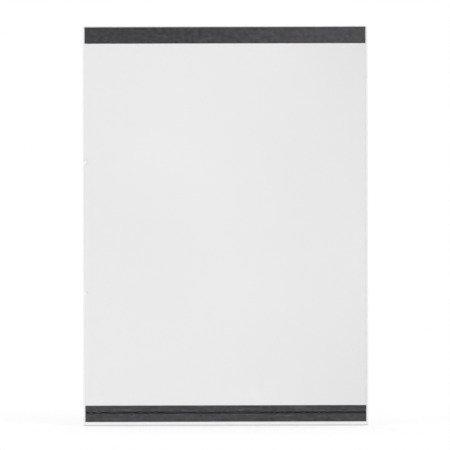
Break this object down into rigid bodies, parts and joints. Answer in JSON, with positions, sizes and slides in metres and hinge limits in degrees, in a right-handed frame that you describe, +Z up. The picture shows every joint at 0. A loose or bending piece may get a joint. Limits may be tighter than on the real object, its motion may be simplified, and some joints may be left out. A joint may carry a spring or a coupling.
{
  "type": "magnetic display pocket",
  "caption": "Clear frameless pocket for an A4 sheet with flat magnet strips along the top and bottom of its back; the bottom strip is scored so its lower part folds out as a closing flap.",
  "frame": {"origin": "middle of the top magnet strip's outer face, the face that lies against the steel board", "axes": "+Z up along the pocket's height, +X across it, to the right when its back is looked at, +Y from the board towards the viewer's side of the display, so the magnet strips face -Y"},
  "size_m": [0.216, 0.002, 0.303],
  "materials": {
    "clear_film": "clear rigid film with a faint matt grain",
    "clear_bond": "clear double-sided tape and glue",
    "magnet_rubber": "matt charcoal magnet rubber",
    "strip_adhesive": "thin clear acrylic tape",
    "hinge_tape": "matt black hinge tape"
  },
  "bodies": {
    "pocket": {"front_film": "clear_film", "back_film": "clear_film", "top_bond_tape": "clear_bond", "right_bond_tape": "clear_bond", "left_glue_dot_upper": "clear_bond", "left_glue_dot_lower": "clear_bond", "top_magnet_strip": "magnet_rubber", "bottom_magnet_strip": "magnet_rubber", "top_strip_adhesive": "strip_adhesive", "bottom_strip_adhesive": "strip_adhesive", "flap_hinge_tape": "hinge_tape"},
    "closing_flap": {"flap_film": "clear_film", "flap_magnet_strip": "magnet_rubber", "flap_strip_adhesive": "strip_adhesive"}
  },
  "joints": [
    {"name": "flap_fold", "type": "hinge", "parent": "pocket", "child": "closing_flap", "pos_m": [0, 0.00121, -0.28605], "axis": [-1, 0, 0], "range_deg": [0, 40], "deforming": ["flap_hinge_tape"]}
  ]
}
